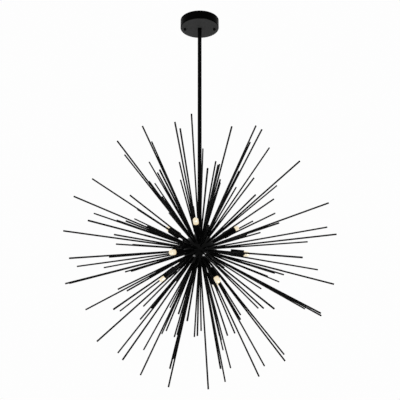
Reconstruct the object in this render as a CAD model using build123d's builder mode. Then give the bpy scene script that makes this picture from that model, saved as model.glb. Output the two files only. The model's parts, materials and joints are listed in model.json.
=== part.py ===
from build123d import *
import math
import os

# Sputnik chandelier. Millimetres, +Z up, X to the right and -Y to the front.
# The origin is the centre of the ceiling face of the canopy. Everything hangs below it.

# --- Mounting strap and its hardware, hidden in the canopy ---------------------------
STRAP_LENGTH = 112.0
STRAP_WIDTH = 22.0
STRAP_THICKNESS = 2.5
STRAP_CORNER = 3.0
BOX_SCREW_SPACING = 69.85  # 2 3/4 in ceiling box
BOX_SLOT_WIDTH = 5.0
BOX_SLOT_LENGTH = 9.0
STUD_SPACING = 97.0
STUD_DIAMETER = 4.0
STUD_END = 4.0  # how far the stud reaches below the canopy
STUD_NUT_FLATS = 7.0
STUD_NUT_HEIGHT = 3.2
GROUND_SCREW_OFFSET = 18.0
GROUND_SCREW_DIAMETER = 4.0
GROUND_SCREW_LENGTH = 9.0
GROUND_HEAD_DIAMETER = 8.0
GROUND_HEAD_HEIGHT = 2.2
GROUND_SLOT_WIDTH = 1.0
THREAD_CLEARANCE = 0.05  # radial gap that stands in for every thread
NUT_CORNER = 0.55  # radius of a hexagonal nut's rounded corners, as a share of its flats
SMALL_EDGE = 0.4  # chamfer on the ends of tubes, rods, studs and ceramic pieces

# --- Turning coupling between strap and stem -----------------------------------------
NIPPLE_DIAMETER = 10.0
NIPPLE_BORE = 7.0
NIPPLE_ABOVE_STRAP = 6.5
NIPPLE_NUT_FLATS = 14.0
NIPPLE_NUT_HEIGHT = 3.5
NUT_GAP = 2.0  # between the lower nipple nut and the union nut
FLANGE_DIAMETER = 14.0
FLANGE_THICKNESS = 2.0
UNION_DIAMETER = 22.0
UNION_TOP = 3.0
UNION_SKIRT = 7.0
SWIVEL_DIAMETER = 18.0
SWIVEL_LENGTH = 14.5
SWIVEL_SOCKET = 6.0  # how far the stem goes into the swivel
RUNNING_CLEARANCE = 0.08

# --- Canopy --------------------------------------------------------------------------
CANOPY_DIAMETER = 127.0  # 5 in
CANOPY_HEIGHT = 29.0
CANOPY_WALL = 1.5
CANOPY_EDGE = 2.5
CANOPY_STEM_GAP = 0.8
CANOPY_STUD_GAP = 0.3
CAP_NUT_DIAMETER = 8.0
CAP_NUT_SKIRT = 4.0

# --- Stem ----------------------------------------------------------------------------
STEM_DIAMETER = 12.7  # 1/2 in
STEM_BORE = 9.5
STEM_LONG_SECTION = 305.0
STEM_SHORT_SECTION = 88.0
CONNECTOR_LENGTH = 30.0
CONNECTOR_BORE = 6.5

# --- Hub -----------------------------------------------------------------------------
HUB_RADIUS = 50.0
HUB_WALL = 5.0
HUB_LIP_HEIGHT = 1.2
HUB_LIP_WIDTH = 2.4
COLLAR_DIAMETER = 18.0
COLLAR_HEIGHT = 12.0
COLLAR_FLOOR = 3.0
COLLAR_EDGE = 1.0
TIE_IN_STEM = 12.0
TIE_IN_FINIAL = 6.0
WIRE_WINDOW_WIDTH = 5.0
WIRE_WINDOW_HEIGHT = 18.0
FINIAL_DIAMETER = 13.0
FINIAL_LENGTH = 13.0

# --- Rods ----------------------------------------------------------------------------
ROD_DIAMETER = 4.76  # 3/16 in
ROD_SHANK_DIAMETER = 3.0
LONG_ROD_LENGTH = 358.0  # outside the hub
SHORT_ROD_LENGTH = 222.0

# --- Lamps ---------------------------------------------------------------------------
ARM_DIAMETER = 8.0
ARM_BORE = 5.0
ARM_LENGTH = 44.0  # from the hub's surface to the back of the cup
ARM_SHOULDER_DIAMETER = 10.5
ARM_SHOULDER_HEIGHT = 2.0
ARM_NUT_FLATS = 12.0
ARM_NUT_HEIGHT = 3.0
ARM_PAST_NUT = 1.0  # how far an arm's thread stands out of its nuts
CUP_DIAMETER = 21.0
CUP_LENGTH = 40.0
CUP_WALL = 1.0
CUP_BASE = 2.0
CUP_EDGE = 1.8
CUP_NUT_HEIGHT = 3.5
HOLDER_DIAMETER = 18.6
HOLDER_LENGTH = 20.0
PIN_SPACING = 9.0
PIN_DIAMETER = 1.2
PIN_HOLE_DIAMETER = 1.8
PIN_LENGTH = 12.0
PIN_HOLE_DEPTH = 14.0
BULB_GAP = 0.5  # between lampholder and bulb base
BULB_BASE_DIAMETER = 16.5
BULB_BASE_HEIGHT = 8.0
GLASS_DIAMETER = 16.0
GLASS_WALL = 1.0
GLASS_LENGTH = 23.0
POST_DIAMETER = 0.8
POST_SPACING = 5.0
POST_HEIGHT = 14.0

# Every lamp and rod is a spoke of the hub, given by two angles in degrees: its elevation, and
# its azimuth round the stem, measured from the front (-Y) towards the right (+X).
# The lamps stand in three loose rings of three.
LAMP_ANGLES = (
    (26, -5), (31, 111), (33, -125),
    (-11, -34), (-6, 86), (-8, -155),
    (-46, 31), (-42, 152), (-38, -94),
)
LONG_ROD_ANGLES = (
    (68, -9), (67, 176), (65, -114), (64, 112), (57, -49), (57, 48), (56, 100), (55, 178),
    (54, -134), (52, -104), (51, 44), (50, -15), (47, -60), (46, 18), (43, -10), (43, -148),
    (38, 125), (34, -93), (32, 54), (28, -162), (28, 164), (23, -142), (21, -113), (21, -78),
    (20, -15), (20, 3), (17, 74), (11, 96), (11, 170), (8, 117), (7, -175), (6, -79),
    (4, -45), (4, 76), (-3, -127), (-4, -19), (-4, 16), (-5, -106), (-6, 110), (-7, -168),
    (-8, -60), (-9, 137), (-10, 40), (-14, -94), (-15, 6), (-16, -77), (-16, 79),
    (-21, -164), (-22, -179), (-24, -134), (-24, 115), (-25, -106), (-26, 150), (-29, -37),
    (-29, 31), (-29, 69), (-29, 88), (-34, -5), (-36, -157), (-37, 168), (-42, -68),
    (-42, 10), (-46, -140), (-46, 164), (-48, -113), (-49, 107), (-52, -160), (-52, -55),
    (-53, 82), (-57, -20), (-57, 14), (-57, 117), (-59, 152), (-64, -103), (-65, 93),
    (-72, 142), (-77, -74), (-79, 18),
)
SHORT_ROD_ANGLES = (
    (76, 70), (70, -41), (67, 27), (65, -147), (63, 81), (62, 148), (61, -82), (55, 20),
    (55, 130), (49, 66), (46, -32), (42, -174), (40, 152), (39, -43), (36, 15), (33, 80),
    (31, -60), (27, 101), (27, 133), (27, 40), (24, 179), (23, -24), (20, -92), (19, 15),
    (18, 129), (17, -41), (17, 143), (16, 157), (11, -50), (11, 57), (9, -125), (7, -162),
    (6, -104), (5, -31), (5, -64), (4, 5), (4, 150), (-4, 162), (-4, -9), (-6, -82),
    (-6, 177), (-11, -117), (-11, 26), (-12, 116), (-12, -141), (-15, 100), (-15, 160),
    (-17, 63), (-19, -46), (-22, -19), (-22, 47), (-22, 128), (-24, -151), (-26, -91),
    (-30, -59), (-32, 12), (-36, -126), (-38, -141), (-38, 121), (-42, 63), (-43, -41),
    (-43, 139), (-48, -18), (-50, -88), (-52, 42), (-60, 178), (-61, -129), (-65, 113),
    (-69, -40), (-70, -170), (-70, 59), (-71, -121), (-71, -4),
)
# Rods of one length are grouped by the elevation at which they leave the hub.
ROD_BAND_ANGLES = (("upper", 30, 90), ("middle", -30, 30), ("lower", -90, -30))

# --- Heights worked out from the sizes above -----------------------------------------
STRAP_BOTTOM = -STRAP_THICKNESS
NIPPLE_NUT_BOTTOM = STRAP_BOTTOM - NIPPLE_NUT_HEIGHT
UNION_TOP_Z = NIPPLE_NUT_BOTTOM - NUT_GAP
SWIVEL_TOP = UNION_TOP_Z - UNION_TOP
FLANGE_TOP = SWIVEL_TOP - RUNNING_CLEARANCE
FLANGE_BOTTOM = FLANGE_TOP - FLANGE_THICKNESS
SWIVEL_BOTTOM = SWIVEL_TOP - SWIVEL_LENGTH
STEM_TOP = SWIVEL_BOTTOM + SWIVEL_SOCKET
UPPER_JOINT = STEM_TOP - STEM_LONG_SECTION
LOWER_JOINT = UPPER_JOINT - STEM_LONG_SECTION
STEM_BOTTOM = LOWER_JOINT - STEM_SHORT_SECTION
COLLAR_BOTTOM = STEM_BOTTOM - COLLAR_FLOOR
HUB_TOP_FLAT = math.sqrt(HUB_RADIUS**2 - (COLLAR_DIAMETER / 2) ** 2)
HUB_BOTTOM_FLAT = math.sqrt(HUB_RADIUS**2 - (FINIAL_DIAMETER / 2) ** 2)
HUB_Z = COLLAR_BOTTOM - HUB_TOP_FLAT
HUB_CENTRE = Vector(0, 0, HUB_Z)
FINIAL_TOP = HUB_Z - HUB_BOTTOM_FLAT

STEM_PLUG_DIAMETER = STEM_BORE - 2 * THREAD_CLEARANCE
CUP_BACK = HUB_RADIUS + ARM_LENGTH
CUP_FLOOR = CUP_BACK + CUP_BASE
ARM_END = CUP_FLOOR + CUP_NUT_HEIGHT + ARM_PAST_NUT
HOLDER_FACE = ARM_END + HOLDER_LENGTH
BULB_BACK = HOLDER_FACE + BULB_GAP
GLASS_BACK = BULB_BACK + BULB_BASE_HEIGHT

DOWN = (Align.CENTER, Align.CENTER, Align.MAX)
UP = (Align.CENTER, Align.CENTER, Align.MIN)
STUD_PLACES = ((-STUD_SPACING / 2, 0), (STUD_SPACING / 2, 0))


def save(builder, name):
    """Label a finished piece and write it to its own file."""
    builder.part.label = name
    export_step(builder.part, f"parts/{name}.step")


def spoke_place(elevation, azimuth):
    """The frame of a spoke of the hub: its Z axis runs outwards from the hub's centre."""
    tilt = math.radians(elevation)
    turn = math.radians(azimuth)
    level = math.cos(tilt)
    outwards = Vector(level * math.sin(turn), -level * math.cos(turn), math.sin(tilt))
    return Plane(origin=HUB_CENTRE, z_dir=outwards)


def disc(radius, start, height):
    """A cylinder on the open builder's axis, from a starting height upwards."""
    with Locations((0, 0, start)):
        return Cylinder(radius, height, align=UP)


def bore(radius, start, height):
    """A round hole on the open builder's axis, from a starting height upwards."""
    with Locations((0, 0, start)):
        return Cylinder(radius, height, align=UP, mode=Mode.SUBTRACT)


def hex_nut(flats, height, hole):
    """A hexagonal nut standing on Z = 0, with its corners knocked off."""
    with BuildPart() as nut:
        with BuildSketch():
            RegularPolygon(radius=flats / 2, side_count=6, major_radius=False)
            Circle(radius=hole / 2, mode=Mode.SUBTRACT)
        extrude(amount=height)
        with BuildSketch(Plane.XY) as corner_limit:
            Circle(radius=flats * NUT_CORNER)
        extrude(to_extrude=corner_limit.sketch, amount=height, mode=Mode.INTERSECT)
    return nut.part


def place_copies(piece, places, name):
    """One node that holds a separate solid of the same piece at every place."""
    with BuildPart() as group:
        with Locations(*places):
            add(piece, clean=False)
    save(group, name)


os.makedirs("parts", exist_ok=True)

lamp_places = [spoke_place(*angles) for angles in LAMP_ANGLES]

# --- Mounting strap: a flat bar with two slots for the ceiling box -------------------
with BuildPart() as mounting_strap:
    with BuildSketch():
        RectangleRounded(STRAP_LENGTH, STRAP_WIDTH, STRAP_CORNER)
        Circle(radius=NIPPLE_DIAMETER / 2 + THREAD_CLEARANCE, mode=Mode.SUBTRACT)
        with Locations((-BOX_SCREW_SPACING / 2, 0), (BOX_SCREW_SPACING / 2, 0)):
            SlotOverall(BOX_SLOT_LENGTH, BOX_SLOT_WIDTH, mode=Mode.SUBTRACT)
        with Locations(*STUD_PLACES):
            Circle(radius=STUD_DIAMETER / 2 + THREAD_CLEARANCE, mode=Mode.SUBTRACT)
        with Locations((GROUND_SCREW_OFFSET, 0)):
            Circle(radius=GROUND_SCREW_DIAMETER / 2 + THREAD_CLEARANCE, mode=Mode.SUBTRACT)
    extrude(amount=-STRAP_THICKNESS)
save(mounting_strap, "mounting_strap")

# --- Ground screw: slotted pan head under the strap ----------------------------------
with BuildPart() as ground_screw:
    with Locations((GROUND_SCREW_OFFSET, 0, STRAP_BOTTOM)):
        Cylinder(GROUND_HEAD_DIAMETER / 2, GROUND_HEAD_HEIGHT, align=DOWN)
    head_rim = ground_screw.edges().filter_by(GeomType.CIRCLE).sort_by(Axis.Z)[0]
    fillet(head_rim, GROUND_HEAD_HEIGHT / 3)
    with Locations((GROUND_SCREW_OFFSET, 0, STRAP_BOTTOM - GROUND_HEAD_HEIGHT)):
        Box(GROUND_HEAD_DIAMETER, GROUND_SLOT_WIDTH, GROUND_HEAD_HEIGHT, mode=Mode.SUBTRACT)
    with Locations((GROUND_SCREW_OFFSET, 0, STRAP_BOTTOM)):
        Cylinder(GROUND_SCREW_DIAMETER / 2, GROUND_SCREW_LENGTH - GROUND_HEAD_HEIGHT, align=UP)
save(ground_screw, "ground_screw")

# --- Canopy studs and their lock nuts ------------------------------------------------
stud_length = CANOPY_HEIGHT + STUD_END
with BuildPart() as stud:
    Cylinder(STUD_DIAMETER / 2, stud_length, align=DOWN)
    chamfer(stud.edges().filter_by(GeomType.CIRCLE), SMALL_EDGE)
place_copies(stud.part, STUD_PLACES, "canopy_studs")

stud_nut = hex_nut(STUD_NUT_FLATS, STUD_NUT_HEIGHT, STUD_DIAMETER + 2 * THREAD_CLEARANCE)
stud_nut_places = [(x, y, STRAP_BOTTOM - STUD_NUT_HEIGHT) for x, y in STUD_PLACES]
place_copies(stud_nut, stud_nut_places, "stud_nuts")

# --- Hollow nipple with a flange at its foot, and the two nuts that clamp it ---------
with BuildPart() as strap_nipple:
    disc(NIPPLE_DIAMETER / 2, FLANGE_BOTTOM, NIPPLE_ABOVE_STRAP - FLANGE_BOTTOM)
    disc(FLANGE_DIAMETER / 2, FLANGE_BOTTOM, FLANGE_THICKNESS)
    bore(NIPPLE_BORE / 2, FLANGE_BOTTOM, NIPPLE_ABOVE_STRAP - FLANGE_BOTTOM)
save(strap_nipple, "strap_nipple")

nipple_nut = hex_nut(NIPPLE_NUT_FLATS, NIPPLE_NUT_HEIGHT, NIPPLE_DIAMETER + 2 * THREAD_CLEARANCE)
place_copies(nipple_nut, [(0, 0, 0), (0, 0, NIPPLE_NUT_BOTTOM)], "nipple_nuts")

# --- Turning coupling: a union nut that hangs on the flange, and the swivel body -----
with BuildPart() as union_nut:
    disc(UNION_DIAMETER / 2, SWIVEL_TOP - UNION_SKIRT, UNION_TOP + UNION_SKIRT)
    chamfer(union_nut.edges().filter_by(GeomType.CIRCLE), SMALL_EDGE)
    bore(NIPPLE_DIAMETER / 2 + RUNNING_CLEARANCE, SWIVEL_TOP, UNION_TOP)
    bore(SWIVEL_DIAMETER / 2 + THREAD_CLEARANCE, SWIVEL_TOP - UNION_SKIRT, UNION_SKIRT)
save(union_nut, "swivel_union_nut")

recess_depth = FLANGE_THICKNESS + 2 * RUNNING_CLEARANCE
with BuildPart() as swivel_body:
    disc(SWIVEL_DIAMETER / 2, SWIVEL_BOTTOM, SWIVEL_LENGTH)
    bore(NIPPLE_BORE / 2, SWIVEL_BOTTOM, SWIVEL_LENGTH)
    bore(FLANGE_DIAMETER / 2 + RUNNING_CLEARANCE, SWIVEL_TOP - recess_depth, recess_depth)
    bore(STEM_DIAMETER / 2 + THREAD_CLEARANCE, SWIVEL_BOTTOM, SWIVEL_SOCKET)
save(swivel_body, "swivel_body")

# --- Canopy: a spun pan, open to the ceiling -----------------------------------------
canopy_floor = -CANOPY_HEIGHT
with BuildPart() as canopy:
    Cylinder(CANOPY_DIAMETER / 2, CANOPY_HEIGHT, align=DOWN)
    fillet(canopy.edges().filter_by(GeomType.CIRCLE).sort_by(Axis.Z)[0], CANOPY_EDGE)
    offset(amount=-CANOPY_WALL, openings=canopy.faces().sort_by(Axis.Z)[-1])
    bore(STEM_DIAMETER / 2 + CANOPY_STEM_GAP, canopy_floor, 2 * CANOPY_WALL)
    with Locations(*[(x, y, canopy_floor) for x, y in STUD_PLACES]):
        Cylinder(
            STUD_DIAMETER / 2 + CANOPY_STUD_GAP, 2 * CANOPY_WALL, align=UP, mode=Mode.SUBTRACT
        )
save(canopy, "canopy")

# --- Domed cap nuts that hold the canopy up ------------------------------------------
stud_bore_depth = STUD_END + THREAD_CLEARANCE
with BuildPart() as cap_nut:
    Cylinder(CAP_NUT_DIAMETER / 2, CAP_NUT_SKIRT, align=DOWN)
    with Locations((0, 0, -CAP_NUT_SKIRT)):
        Sphere(CAP_NUT_DIAMETER / 2)
    Cylinder(
        STUD_DIAMETER / 2 + THREAD_CLEARANCE, stud_bore_depth, align=DOWN, mode=Mode.SUBTRACT
    )
place_copies(cap_nut.part, [(x, y, canopy_floor) for x, y in STUD_PLACES], "cap_nuts")


# --- Stem: three tubes on threaded inside connectors ---------------------------------
def stem_section(top, length, name):
    """One length of stem tube, its ends lightly chamfered so that the joints show."""
    with BuildPart() as tube:
        disc(STEM_DIAMETER / 2, top - length, length)
        chamfer(tube.edges().filter_by(GeomType.CIRCLE), SMALL_EDGE)
        bore(STEM_BORE / 2, top - length, length)
    save(tube, name)


stem_section(STEM_TOP, STEM_LONG_SECTION, "stem_upper_section")
stem_section(UPPER_JOINT, STEM_LONG_SECTION, "stem_middle_section")
stem_section(LOWER_JOINT, STEM_SHORT_SECTION, "stem_lower_section")

with BuildPart() as connector:
    Cylinder(STEM_PLUG_DIAMETER / 2, CONNECTOR_LENGTH)
    Cylinder(CONNECTOR_BORE / 2, CONNECTOR_LENGTH, mode=Mode.SUBTRACT)
place_copies(connector.part, [(0, 0, UPPER_JOINT), (0, 0, LOWER_JOINT)], "stem_connectors")

# --- Collar that seats the stem on the hub -------------------------------------------
with BuildPart() as hub_collar:
    disc(COLLAR_DIAMETER / 2, COLLAR_BOTTOM, COLLAR_HEIGHT)
    chamfer(hub_collar.edges().filter_by(GeomType.CIRCLE).sort_by(Axis.Z)[-1], COLLAR_EDGE)
    bore(STEM_DIAMETER / 2 + THREAD_CLEARANCE, STEM_BOTTOM, COLLAR_HEIGHT)
    bore(STEM_BORE / 2, COLLAR_BOTTOM, COLLAR_HEIGHT)
save(hub_collar, "hub_collar")

# --- Hollow tie tube through the hub, with windows for the lamp wires ----------------
tie_top = STEM_BOTTOM + TIE_IN_STEM
tie_bottom = FINIAL_TOP - TIE_IN_FINIAL
with BuildPart() as tie_tube:
    disc(STEM_PLUG_DIAMETER / 2, tie_bottom, tie_top - tie_bottom)
    bore(CONNECTOR_BORE / 2, tie_bottom, tie_top - tie_bottom)
    with Locations(HUB_CENTRE):
        Box(STEM_DIAMETER, WIRE_WINDOW_WIDTH, WIRE_WINDOW_HEIGHT, mode=Mode.SUBTRACT)
save(tie_tube, "hub_tie_tube")

# --- Finial that closes the foot of the hub ------------------------------------------
finial_skirt = FINIAL_LENGTH - FINIAL_DIAMETER / 2
with BuildPart() as finial:
    with Locations((0, 0, FINIAL_TOP)):
        Cylinder(FINIAL_DIAMETER / 2, finial_skirt, align=DOWN)
    with Locations((0, 0, FINIAL_TOP - finial_skirt)):
        Sphere(FINIAL_DIAMETER / 2)
    with Locations((0, 0, FINIAL_TOP)):
        Cylinder(STEM_BORE / 2, TIE_IN_FINIAL + THREAD_CLEARANCE, align=DOWN, mode=Mode.SUBTRACT)
save(finial, "hub_finial")

# --- Hub: two thick half shells that meet at a lip, drilled for rods and lamps -------
rebate_radius = HUB_RADIUS - HUB_WALL + HUB_LIP_WIDTH
half_block = 2 * HUB_RADIUS
drill_start = HUB_RADIUS - 2 * HUB_WALL
drill_length = 3 * HUB_WALL


def drill_hub(lowest, highest):
    """Drill the open half shell for the tie tube, and for the rods and lamps it carries."""
    bore(STEM_BORE / 2, HUB_Z - half_block, 2 * half_block)
    for spokes, radius in (
        (LONG_ROD_ANGLES + SHORT_ROD_ANGLES, ROD_SHANK_DIAMETER / 2),
        (LAMP_ANGLES, ARM_DIAMETER / 2),
    ):
        carried = [angles for angles in spokes if lowest < angles[0] < highest]
        with Locations(*[spoke_place(*angles).offset(drill_start) for angles in carried]):
            Cylinder(radius + THREAD_CLEARANCE, drill_length, align=UP, mode=Mode.SUBTRACT)


with BuildPart() as hub_upper_shell:
    with Locations(HUB_CENTRE):
        Sphere(HUB_RADIUS)
        Sphere(HUB_RADIUS - HUB_WALL, mode=Mode.SUBTRACT)
        Box(half_block, half_block, half_block, align=DOWN, mode=Mode.SUBTRACT)
    with Locations(HUB_CENTRE + Vector(0, 0, HUB_TOP_FLAT)):
        Box(half_block, half_block, half_block, align=UP, mode=Mode.SUBTRACT)
    bore(rebate_radius, HUB_Z, HUB_LIP_HEIGHT + THREAD_CLEARANCE)
    drill_hub(0, 90)
save(hub_upper_shell, "hub_upper_shell")

with BuildPart() as hub_lower_shell:
    with Locations(HUB_CENTRE):
        Sphere(HUB_RADIUS)
        Box(half_block, half_block, half_block, align=UP, mode=Mode.SUBTRACT)
    disc(rebate_radius - THREAD_CLEARANCE, HUB_Z, HUB_LIP_HEIGHT)
    with Locations(HUB_CENTRE):
        Sphere(HUB_RADIUS - HUB_WALL, mode=Mode.SUBTRACT)
    with Locations(HUB_CENTRE - Vector(0, 0, HUB_BOTTOM_FLAT)):
        Box(half_block, half_block, half_block, align=DOWN, mode=Mode.SUBTRACT)
    drill_hub(-90, 0)
save(hub_lower_shell, "hub_lower_shell")


# --- Rods: a thin shank through the hub's wall, and a straight rod outside -----------
def make_rod(length):
    """A rod along Z, as far from the origin as it stands from the hub's centre."""
    with BuildPart() as rod:
        disc(ROD_DIAMETER / 2, HUB_RADIUS, length)
        chamfer(rod.edges().filter_by(GeomType.CIRCLE).sort_by(Axis.Z)[-1], SMALL_EDGE)
        disc(ROD_SHANK_DIAMETER / 2, HUB_RADIUS - HUB_WALL, HUB_WALL)
    return rod.part


def rod_set(kind, spokes, length):
    """One node of rods for each band of elevation."""
    rod = make_rod(length)
    for band, lowest, highest in ROD_BAND_ANGLES:
        places = [spoke_place(*angles) for angles in spokes if lowest <= angles[0] < highest]
        place_copies(rod, places, f"{kind}_rods_{band}")


rod_set("long", LONG_ROD_ANGLES, LONG_ROD_LENGTH)
rod_set("short", SHORT_ROD_ANGLES, SHORT_ROD_LENGTH)

# --- Lamp arms: hollow tubes with a shoulder on the hub, and their lock nuts ---------
nut_top = math.sqrt((HUB_RADIUS - HUB_WALL) ** 2 - (ARM_NUT_FLATS * NUT_CORNER) ** 2)
arm_inner_end = nut_top - ARM_NUT_HEIGHT - ARM_PAST_NUT
with BuildPart() as lamp_arm:
    disc(ARM_DIAMETER / 2, arm_inner_end, ARM_END - arm_inner_end)
    disc(ARM_SHOULDER_DIAMETER / 2, HUB_RADIUS, ARM_SHOULDER_HEIGHT)
    bore(ARM_BORE / 2, arm_inner_end, ARM_END - arm_inner_end)
place_copies(lamp_arm.part, lamp_places, "lamp_arms")

arm_nut_hole = ARM_DIAMETER + 2 * THREAD_CLEARANCE
arm_nut = hex_nut(ARM_NUT_FLATS, ARM_NUT_HEIGHT, arm_nut_hole)
arm_nut_places = [place.offset(nut_top - ARM_NUT_HEIGHT) for place in lamp_places]
place_copies(arm_nut, arm_nut_places, "arm_nuts")

cup_nut = hex_nut(ARM_NUT_FLATS, CUP_NUT_HEIGHT, arm_nut_hole)
cup_nut_places = [place.offset(CUP_FLOOR) for place in lamp_places]
place_copies(cup_nut, cup_nut_places, "cup_nuts")

# --- Lamp cup: a deep drawn cup, open outwards ---------------------------------------
with BuildPart() as lamp_cup:
    disc(CUP_DIAMETER / 2, CUP_BACK, CUP_LENGTH)
    fillet(lamp_cup.edges().filter_by(GeomType.CIRCLE).sort_by(Axis.Z)[0], CUP_EDGE)
    bore(CUP_DIAMETER / 2 - CUP_WALL, CUP_FLOOR, CUP_LENGTH)
    bore(ARM_DIAMETER / 2 + THREAD_CLEARANCE, CUP_BACK, CUP_BASE)

# --- Ceramic lampholder with two sockets for the bulb's pins -------------------------
PIN_PLACES = ((-PIN_SPACING / 2, 0), (PIN_SPACING / 2, 0))
with BuildPart() as lampholder:
    disc(HOLDER_DIAMETER / 2, ARM_END, HOLDER_LENGTH)
    chamfer(lampholder.edges().filter_by(GeomType.CIRCLE).sort_by(Axis.Z)[-1], SMALL_EDGE)
    with Locations(*[(x, y, HOLDER_FACE) for x, y in PIN_PLACES]):
        Cylinder(PIN_HOLE_DIAMETER / 2, PIN_HOLE_DEPTH, align=DOWN, mode=Mode.SUBTRACT)
place_copies(lampholder.part, lamp_places, "lampholders")

# --- Bulb: a ceramic base with two pins and the filament posts -----------------------
with BuildPart() as bulb_base:
    disc(BULB_BASE_DIAMETER / 2, BULB_BACK, BULB_BASE_HEIGHT)
    chamfer(bulb_base.edges().filter_by(GeomType.CIRCLE), SMALL_EDGE)
    with Locations(*[(x, y, BULB_BACK) for x, y in PIN_PLACES]):
        Cylinder(PIN_DIAMETER / 2, PIN_LENGTH, align=DOWN)
    with Locations((-POST_SPACING / 2, 0, GLASS_BACK), (POST_SPACING / 2, 0, GLASS_BACK)):
        Cylinder(POST_DIAMETER / 2, POST_HEIGHT, align=UP)
    with Locations((0, 0, GLASS_BACK + POST_HEIGHT)):
        Cylinder(POST_DIAMETER / 2, POST_SPACING + POST_DIAMETER, rotation=(0, 90, 0))

# --- Bulb: a thin glass capsule with a domed end -------------------------------------
glass_radius = GLASS_DIAMETER / 2
glass_straight = GLASS_LENGTH - glass_radius
with BuildPart() as bulb_glass:
    disc(glass_radius, GLASS_BACK, glass_straight)
    with Locations((0, 0, GLASS_BACK + glass_straight)):
        Sphere(glass_radius)
        Sphere(glass_radius - GLASS_WALL, mode=Mode.SUBTRACT)
    bore(glass_radius - GLASS_WALL, GLASS_BACK, glass_straight)

for number, place in enumerate(lamp_places, start=1):
    place_copies(lamp_cup.part, [place], f"lamp_cup_{number}")
    place_copies(bulb_base.part, [place], f"bulb_base_{number}")
    place_copies(bulb_glass.part, [place], f"bulb_glass_{number}")
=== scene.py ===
import json
import math

import bmesh
import bpy
from mathutils import Matrix, Vector


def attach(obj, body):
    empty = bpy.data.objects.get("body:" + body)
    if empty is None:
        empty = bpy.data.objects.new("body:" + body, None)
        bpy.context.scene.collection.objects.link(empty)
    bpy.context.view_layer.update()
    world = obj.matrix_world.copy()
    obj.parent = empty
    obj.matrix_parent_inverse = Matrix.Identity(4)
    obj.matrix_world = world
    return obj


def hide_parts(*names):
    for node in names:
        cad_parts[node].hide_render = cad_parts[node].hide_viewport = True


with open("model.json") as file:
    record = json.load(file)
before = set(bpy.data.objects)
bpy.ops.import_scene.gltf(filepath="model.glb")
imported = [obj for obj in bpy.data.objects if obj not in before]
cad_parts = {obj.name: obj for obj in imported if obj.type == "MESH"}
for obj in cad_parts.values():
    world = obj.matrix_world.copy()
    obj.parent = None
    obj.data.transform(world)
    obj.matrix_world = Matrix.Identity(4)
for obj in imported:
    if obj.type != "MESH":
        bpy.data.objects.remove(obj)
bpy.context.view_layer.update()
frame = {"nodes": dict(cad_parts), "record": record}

# Sputnik chandelier. Metres, +Z up, -Y towards the viewer, origin in the ceiling face.

# --- Sizes that the looks repeat from the model ---------------------------------------
HUB = Vector((0, 0, -0.769683))
LAMP_ANGLES = (  # elevation and azimuth of each lamp's spoke, in degrees
    (26, -5), (31, 111), (33, -125),
    (-11, -34), (-6, 86), (-8, -155),
    (-46, 31), (-42, 152), (-38, -94),
)
BULB_BACK = 0.121  # from the hub's centre to the foot of the bulb's base
BASE_RADIUS = 0.00825
BASE_HEIGHT = 0.008
GLASS_RADIUS = 0.008
GLASS_LENGTH = 0.023
GLASS_FOOT = BULB_BACK + BASE_HEIGHT
GLASS_TIP = GLASS_FOOT + GLASS_LENGTH
PIN_SPACING = 0.009
PIN_RADIUS = 0.0006
PIN_LENGTH = 0.012

# --- Details that only the looks have -------------------------------------------------
GLASS_NECK = (  # share of the glass's radius, height above its foot
    (0.90, 0.0), (0.93, 0.0012), (0.985, 0.0026), (1.0, 0.0042),
)
GLASS_WALL_END = 0.004  # straight wall stops this far below the rounded tip
GLASS_TIP_STEPS = 10
BASE_EASE = 0.0004
BASE_GROOVE_SHARE = 0.55  # height of the groove, as a share of the base's height
BASE_GROOVE_HALF = 0.0006
PIN_ROOT = 0.001  # length of each pin inside the base
TURNED_SIDES = 40
WIRE_ROUNDING = 3

# --- The photograph's view ------------------------------------------------------------
CAMERA_DISTANCE = 1.864  # from the hub's centre
CAMERA_BELOW = math.radians(9.4)
CAMERA_PITCH = math.radians(14.02)
CAMERA_SIDE = 0.0012
CAMERA_LENS = 55.27
SENSOR_WIDTH = 36.0
CLIP_END = 100.0

# --- Floor and background -------------------------------------------------------------
FLOOR_Z = -2.35
FLOOR_RADIUS = 12.0
FLOOR_SIDES = 96
FLOOR_ROUGHNESS = 0.8
BACKGROUND_LEVEL = 0.985
AMBIENT_STRENGTH = 0.65

# --- Grain of the finishes: noise scales per metre, bump depths in metres -------------
GLOSS_PATCHES = 160.0
PAINT_CLOUDS = 22.0
CANOPY_CLOUDS = 18.0
CANOPY_GRAIN = 900.0
CANOPY_MOTTLE = 1.05  # lightest patch of the underside's painted floor reflection, as a share of its colour
PAINT_SKIN = 0.00003
DRAWN_LINES = 900.0
TARNISH = 60.0
METAL_SKIN = 0.00002
CERAMIC_SPECKLE = 1400.0
CERAMIC_DRYNESS = 500.0
GLASS_CLOUDS = 300.0
GLASS_GLOSS = 700.0
GLASS_FROST = 2500.0
GLASS_SKIN = 0.00001
FLOOR_CLOUDS = 3.0

# The canopy's colour turns from the black paint of its wall to the painted reflection of the pale
# floor on its underside between these slopes of its face.
SLOPE_STARTS = -0.75
SLOPE_ENDS = -0.98


def grey(level):
    """A neutral colour."""
    return (level, level, level)


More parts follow.
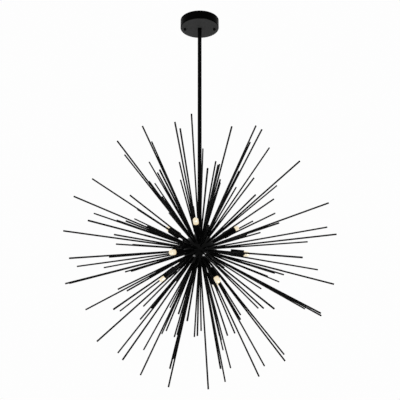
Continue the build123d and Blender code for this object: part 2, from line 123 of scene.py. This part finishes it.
# --- Material helpers -----------------------------------------------------------------
class Nodes:
    """A short way to build one material's node tree."""

    def __init__(self, name):
        self.material = bpy.data.materials.new(name)
        self.material.use_nodes = True
        self.tree = self.material.node_tree
        self.tree.nodes.clear()
        self.output = self.tree.nodes.new("ShaderNodeOutputMaterial")
        self.shader = self.tree.nodes.new("ShaderNodeBsdfPrincipled")
        self.link(self.shader.outputs["BSDF"], self.output.inputs["Surface"])
        coords = self.tree.nodes.new("ShaderNodeTexCoord")
        self.coords = coords.outputs["Object"]
        self.normal = coords.outputs["Normal"]

    def link(self, source, target):
        self.tree.links.new(source, target)

    def feed(self, source, socket):
        """Link a value to one of the shader's sockets."""
        self.link(source, self.shader.inputs[socket])

    def stretched(self, factors):
        """Object coordinates, multiplied along each axis."""
        node = self.tree.nodes.new("ShaderNodeMapping")
        node.inputs["Scale"].default_value = factors
        self.link(self.coords, node.inputs["Vector"])
        return node.outputs["Vector"]

    def height_of(self, vector):
        """The Z part of a vector."""
        node = self.tree.nodes.new("ShaderNodeSeparateXYZ")
        self.link(vector, node.inputs["Vector"])
        return node.outputs["Z"]

    def noise(self, scale, detail=3.0, vector=None, distortion=0.0):
        node = self.tree.nodes.new("ShaderNodeTexNoise")
        node.inputs["Scale"].default_value = scale
        node.inputs["Detail"].default_value = detail
        node.inputs["Distortion"].default_value = distortion
        self.link(vector or self.coords, node.inputs["Vector"])
        return node.outputs["Fac"]

    def ramp(self, value, stops):
        """Turn a value into a colour. Each stop is (position, (r, g, b))."""
        node = self.tree.nodes.new("ShaderNodeValToRGB")
        elements = node.color_ramp.elements
        while len(elements) < len(stops):
            elements.new(0.5)
        for element, (position, colour) in zip(elements, stops):
            element.position = position
            element.color = (*colour, 1.0)
        self.link(value, node.inputs["Fac"])
        return node.outputs["Color"]

    def map_range(self, value, source, target=(0.0, 1.0)):
        """Map one range onto another, and keep the result inside it."""
        node = self.tree.nodes.new("ShaderNodeMapRange")
        node.inputs["From Min"].default_value = source[0]
        node.inputs["From Max"].default_value = source[1]
        node.inputs["To Min"].default_value = target[0]
        node.inputs["To Max"].default_value = target[1]
        self.link(value, node.inputs["Value"])
        return node.outputs["Result"]

    def spread(self, noise, target):
        """Map the usual reach of a noise onto another range."""
        return self.map_range(noise, (0.3, 0.7), target)

    def bump(self, height, distance):
        node = self.tree.nodes.new("ShaderNodeBump")
        node.inputs["Distance"].default_value = distance
        node.inputs["Strength"].default_value = 1.0
        self.link(height, node.inputs["Height"])
        self.feed(node.outputs["Normal"], "Normal")


def black_paint(name, dark, light, roughness, specular, grain):
    """Enamel or powder coat: faint cloudy colour, uneven gloss and an orange-peel skin."""
    m = Nodes(name)
    clouds = m.noise(PAINT_CLOUDS, detail=4.0)
    m.feed(m.ramp(clouds, [(0.35, dark), (0.65, light)]), "Base Color")
    m.feed(m.spread(m.noise(GLOSS_PATCHES, detail=2.0), roughness), "Roughness")
    m.shader.inputs["Specular IOR Level"].default_value = specular
    m.bump(m.noise(grain, detail=2.0), PAINT_SKIN)
    return m.material


def canopy_paint_and_painted_reflection(name, side, underside_painted_reflection, roughness, specular):
    """Black paint on the wall of the pan, and a paler satin grey on its flat underside that is a
    painted reflection of the pale floor.
    """
    m = Nodes(name)
    # Painted reflection: faces that point down get a paler grey that stands in for the pale floor
    # reflected in them.
    facing_down_painted_reflection_mask = m.map_range(m.height_of(m.normal), (SLOPE_STARTS, SLOPE_ENDS))
    lighter_painted_reflection = [part * CANOPY_MOTTLE for part in underside_painted_reflection]
    mottled_painted_reflection = m.ramp(m.noise(CANOPY_CLOUDS, detail=4.0), [(0.35, underside_painted_reflection), (0.65, lighter_painted_reflection)])
    blend = m.tree.nodes.new("ShaderNodeMix")
    blend.data_type = "RGBA"
    blend.inputs["A"].default_value = (*side, 1.0)
    m.link(facing_down_painted_reflection_mask, blend.inputs["Factor"])
    m.link(mottled_painted_reflection, blend.inputs["B"])
    m.feed(blend.outputs["Result"], "Base Color")
    m.feed(m.spread(m.noise(GLOSS_PATCHES, detail=2.0), roughness), "Roughness")
    m.shader.inputs["Specular IOR Level"].default_value = specular
    m.bump(m.noise(CANOPY_GRAIN, detail=2.0), PAINT_SKIN)
    return m.material


def metal(name, dark, light, roughness, stretch):
    """Bare metal with fine drawn lines along one axis and patches of tarnish."""
    m = Nodes(name)
    lines = m.noise(DRAWN_LINES, vector=m.stretched(stretch))
    patches = m.noise(TARNISH, detail=4.0, distortion=0.4)
    m.feed(m.ramp(patches, [(0.3, dark), (0.7, light)]), "Base Color")
    m.feed(m.spread(lines, roughness), "Roughness")
    m.shader.inputs["Metallic"].default_value = 1.0
    m.bump(lines, METAL_SKIN)
    return m.material


def ceramic(name):
    """Unglazed steatite: warm white with faint grey speckle and a dry, pitted skin."""
    m = Nodes(name)
    speckle = m.noise(CERAMIC_SPECKLE, detail=2.0)
    stops = [(0.36, (0.60, 0.57, 0.50)), (0.46, (0.80, 0.77, 0.70)), (0.7, (0.86, 0.84, 0.78))]
    m.feed(m.ramp(speckle, stops), "Base Color")
    m.feed(m.spread(m.noise(CERAMIC_DRYNESS), (0.55, 0.75)), "Roughness")
    m.bump(speckle, METAL_SKIN)
    return m.material


def lit_glass(name):
    """Frosted capsule with the lamp on: warm at the foot, brightest past its middle."""
    m = Nodes(name)
    height = m.map_range(m.height_of(m.coords), (GLASS_FOOT, GLASS_TIP))
    glow = [
        (0.0, (0.66, 0.45, 0.23)),
        (0.3, (0.81, 0.70, 0.48)),
        (0.6, (0.845, 0.755, 0.575)),
        (1.0, (0.83, 0.72, 0.52)),
    ]
    skin = [(0.4, (0.050, 0.045, 0.035)), (0.6, (0.070, 0.065, 0.050))]
    m.feed(m.ramp(height, glow), "Emission Color")
    m.shader.inputs["Emission Strength"].default_value = 1.0
    m.feed(m.ramp(m.noise(GLASS_CLOUDS), skin), "Base Color")
    m.feed(m.spread(m.noise(GLASS_GLOSS), (0.25, 0.45)), "Roughness")
    m.bump(m.noise(GLASS_FROST, detail=1.0), GLASS_SKIN)
    return m.material


ZINC = metal(
    "zinc_steel",
    dark=(0.45, 0.46, 0.48),
    light=(0.66, 0.67, 0.68),
    roughness=(0.28, 0.45),
    stretch=(0.06, 1.0, 1.0),
)
STEATITE = ceramic("steatite")
GLASS_LIT = lit_glass("lit_glass")

MATERIAL_OF_SLOT = {
    "canopy_black": canopy_paint_and_painted_reflection(
        "canopy_black",
        side=grey(0.0007),
        # The underside's grey is a painted reflection of the pale floor, not the paint's own
        # colour.
        underside_painted_reflection=grey(0.060),
        roughness=(0.24, 0.32),
        specular=0.010,
    ),
    "hub_black": black_paint(
        "hub_black",
        dark=grey(0.0012),
        light=grey(0.0020),
        roughness=(0.09, 0.13),
        specular=0.06,
        grain=500.0,
    ),
    "rod_black": black_paint(
        "rod_black",
        dark=grey(0.0015),
        light=grey(0.0030),
        roughness=(0.30, 0.42),
        specular=0.012,
        grain=1100.0,
    ),
    "green_paint": black_paint(
        "ground_green",
        dark=(0.02, 0.16, 0.05),
        light=(0.03, 0.24, 0.08),
        roughness=(0.30, 0.45),
        specular=0.4,
        grain=900.0,
    ),
    "brass": metal(
        "brass",
        dark=(0.45, 0.33, 0.15),
        light=(0.68, 0.52, 0.26),
        roughness=(0.25, 0.42),
        stretch=(1.0, 1.0, 0.06),
    ),
    "zinc_steel": ZINC,
    "ceramic": STEATITE,
    "lit_glass": GLASS_LIT,
}
for entry in frame["record"]["subparts"]:
    node = frame["nodes"][entry["node"]]
    node.data.materials.clear()
    node.data.materials.append(MATERIAL_OF_SLOT[entry["material_slot"]])


# --- Mesh helpers ---------------------------------------------------------------------
def add_object(name, mesh):
    """Put a finished mesh into the scene."""
    piece = bpy.data.objects.new(name, mesh)
    bpy.context.scene.collection.objects.link(piece)
    return piece


def spoke_frame(elevation, azimuth):
    """The place of a spoke: origin in the hub's centre, Z outwards."""
    tilt = math.radians(elevation)
    turn = math.radians(azimuth)
    outwards = Vector((
        math.cos(tilt) * math.sin(turn),
        -math.cos(tilt) * math.cos(turn),
        math.sin(tilt),
    ))
    return Matrix.Translation(HUB) @ outwards.to_track_quat("Z", "Y").to_matrix().to_4x4()


def turned(name, profile):
    """A closed body of revolution about Z. The profile is (radius, height) from foot to tip."""
    bm = bmesh.new()
    rings = []
    for radius, height in profile:
        if radius == 0:
            rings.append([bm.verts.new((0, 0, height))])
            continue
        ring = []
        for side in range(TURNED_SIDES):
            angle = 2 * math.pi * side / TURNED_SIDES
            ring.append(bm.verts.new((radius * math.cos(angle), radius * math.sin(angle), height)))
        rings.append(ring)
    for lower, upper in zip(rings, rings[1:]):
        for side in range(TURNED_SIDES):
            after = (side + 1) % TURNED_SIDES
            if len(lower) == 1:
                bm.faces.new((lower[0], upper[after], upper[side]))
            elif len(upper) == 1:
                bm.faces.new((lower[side], lower[after], upper[0]))
            else:
                bm.faces.new((lower[side], lower[after], upper[after], upper[side]))
    bm.normal_update()
    bmesh.ops.recalc_face_normals(bm, faces=bm.faces)
    for face in bm.faces:
        face.smooth = True
    mesh = bpy.data.meshes.new(name)
    bm.to_mesh(mesh)
    bm.free()
    return add_object(name, mesh)


def wire_along(name, points, radius):
    """A round wire through the points, as a mesh with closed ends."""
    curve = bpy.data.curves.new(name, "CURVE")
    curve.dimensions = "3D"
    curve.bevel_depth = radius
    curve.bevel_resolution = WIRE_ROUNDING
    curve.use_fill_caps = True
    spline = curve.splines.new("POLY")
    spline.points.add(len(points) - 1)
    for point, place in zip(spline.points, points):
        point.co = (*place, 1.0)
    source = add_object(name + "_curve", curve)
    bpy.context.view_layer.update()
    depsgraph = bpy.context.evaluated_depsgraph_get()
    mesh = bpy.data.meshes.new_from_object(source.evaluated_get(depsgraph))
    bpy.data.objects.remove(source)
    for face in mesh.polygons:
        face.use_smooth = True
    return add_object(name, mesh)


def dress(piece, place, body, slot, material, *nodes):
    """Put a finished piece on its spoke with its material, hang it from its body and hide the
    solids it stands for.
    """
    piece.data.materials.clear()
    piece.data.materials.append(material)
    piece.matrix_world = place
    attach(piece, body)
    if nodes:
        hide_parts(*nodes)


# --- Bulbs: frosted capsule with a pinched foot, on a ceramic base with two pins ------
def capsule_profile():
    """The glass: a narrow neck at the foot, a straight wall and a rounded tip."""
    tip_start = GLASS_TIP - GLASS_RADIUS
    profile = [(0, GLASS_FOOT)]
    profile += [(GLASS_RADIUS * share, GLASS_FOOT + rise) for share, rise in GLASS_NECK]
    profile.append((GLASS_RADIUS, tip_start - GLASS_WALL_END))
    for step in range(GLASS_TIP_STEPS):
        angle = math.pi / 2 * step / GLASS_TIP_STEPS
        radius = GLASS_RADIUS * math.cos(angle)
        profile.append((radius, tip_start + GLASS_RADIUS * math.sin(angle)))
    profile.append((0, GLASS_TIP))
    return profile


def base_profile():
    """The ceramic foot, with eased edges and a shallow groove round its middle."""
    groove = BULB_BACK + BASE_HEIGHT * BASE_GROOVE_SHARE
    return [
        (0, BULB_BACK),
        (BASE_RADIUS - BASE_EASE, BULB_BACK),
        (BASE_RADIUS, BULB_BACK + BASE_EASE),
        (BASE_RADIUS, groove - BASE_GROOVE_HALF),
        (BASE_RADIUS - BASE_EASE, groove),
        (BASE_RADIUS, groove + BASE_GROOVE_HALF),
        (BASE_RADIUS, GLASS_FOOT - BASE_EASE),
        (BASE_RADIUS - BASE_EASE, GLASS_FOOT),
        (0, GLASS_FOOT),
    ]


def pin_points(side):
    """One of the two pins: a straight wire from inside the base to its tip."""
    x = side * PIN_SPACING / 2
    return [(x, 0, BULB_BACK + PIN_ROOT), (x, 0, BULB_BACK - PIN_LENGTH)]


for number, angles in enumerate(LAMP_ANGLES, start=1):
    place = spoke_frame(*angles)
    body = f"bulb_{number}"
    capsule = turned(f"capsule_{number}", capsule_profile())
    dress(capsule, place, body, "lit_glass", GLASS_LIT, f"bulb_glass_{number}")
    base = turned(f"capsule_base_{number}", base_profile())
    dress(base, place, body, "ceramic", STEATITE, f"bulb_base_{number}")
    for side, tag in ((-1, "a"), (1, "b")):
        pin = wire_along(f"pin_{tag}_{number}", pin_points(side), PIN_RADIUS)
        dress(pin, place, body, "zinc_steel", ZINC)

# --- Floor ----------------------------------------------------------------------------
floor_mesh = bpy.data.meshes.new("floor")
floor_bm = bmesh.new()
bmesh.ops.create_circle(floor_bm, cap_ends=True, radius=FLOOR_RADIUS, segments=FLOOR_SIDES)
floor_bm.to_mesh(floor_mesh)
floor_bm.free()
floor = add_object("floor", floor_mesh)
floor.location = (0, 0, FLOOR_Z)
floor_paint = Nodes("floor_pale")
floor_stops = [(0.3, grey(0.80)), (0.7, grey(0.83))]
floor_paint.feed(floor_paint.ramp(floor_paint.noise(FLOOR_CLOUDS), floor_stops), "Base Color")
floor_paint.shader.inputs["Roughness"].default_value = FLOOR_ROUGHNESS
floor_mesh.materials.append(floor_paint.material)

# --- World: white to the camera, to gloss and through glass; soft grey as light -------
world = bpy.data.worlds.new("studio")
bpy.context.scene.world = world
world.use_nodes = True
sky = world.node_tree
sky.nodes.clear()


def larger_of(first, second):
    """The larger of two values."""
    node = sky.nodes.new("ShaderNodeMath")
    node.operation = "MAXIMUM"
    sky.links.new(first, node.inputs[0])
    sky.links.new(second, node.inputs[1])
    return node.outputs["Value"]


def background(level, strength):
    """A plain even background."""
    node = sky.nodes.new("ShaderNodeBackground")
    node.inputs["Color"].default_value = (*grey(level), 1)
    node.inputs["Strength"].default_value = strength
    return node.outputs["Background"]


ray = sky.nodes.new("ShaderNodeLightPath").outputs
seen = larger_of(
    ray["Is Camera Ray"],
    larger_of(ray["Is Glossy Ray"], ray["Is Transmission Ray"]),
)
mix = sky.nodes.new("ShaderNodeMixShader")
sky.links.new(seen, mix.inputs["Fac"])
sky.links.new(background(1.0, AMBIENT_STRENGTH), mix.inputs[1])
sky.links.new(background(BACKGROUND_LEVEL, 1.0), mix.inputs[2])
world_output = sky.nodes.new("ShaderNodeOutputWorld")
sky.links.new(mix.outputs["Shader"], world_output.inputs["Surface"])


# --- Lamps ----------------------------------------------------------------------------
def softbox(name, place, size, power, lights_surfaces, shows_in_gloss):
    """A square studio light that faces the hub."""
    light = bpy.data.lights.new(name, "AREA")
    light.shape = "SQUARE"
    light.size = size
    light.energy = power
    lamp = add_object(name, light)
    lamp.location = place
    lamp.rotation_euler = (HUB - Vector(place)).to_track_quat("-Z", "Y").to_euler()
    lamp.visible_camera = False
    lamp.visible_diffuse = lights_surfaces
    lamp.visible_glossy = shows_in_gloss


softbox(
    "key", (-1.9, -2.6, 0.9), size=1.6, power=45.0,
    lights_surfaces=True, shows_in_gloss=False,
)
softbox(
    "low_right", (1.03, -1.14, -2.03), size=0.60, power=220.0,
    lights_surfaces=False, shows_in_gloss=True,
)
softbox(
    "low_left", (-1.16, -0.81, -2.19), size=0.50, power=36.0,
    lights_surfaces=False, shows_in_gloss=True,
)

# --- Camera ---------------------------------------------------------------------------
camera_data = bpy.data.cameras.new("camera")
camera_data.lens = CAMERA_LENS
camera_data.sensor_width = SENSOR_WIDTH
camera_data.clip_end = CLIP_END
camera = add_object("camera", camera_data)
towards = Vector((0, -math.cos(CAMERA_BELOW), -math.sin(CAMERA_BELOW)))
camera.location = HUB + CAMERA_DISTANCE * towards + Vector((CAMERA_SIDE, 0, 0))
camera.rotation_euler = (math.pi / 2 + CAMERA_PITCH, 0, 0)
bpy.context.scene.camera = camera
bpy.context.scene.view_settings.view_transform = "Standard"
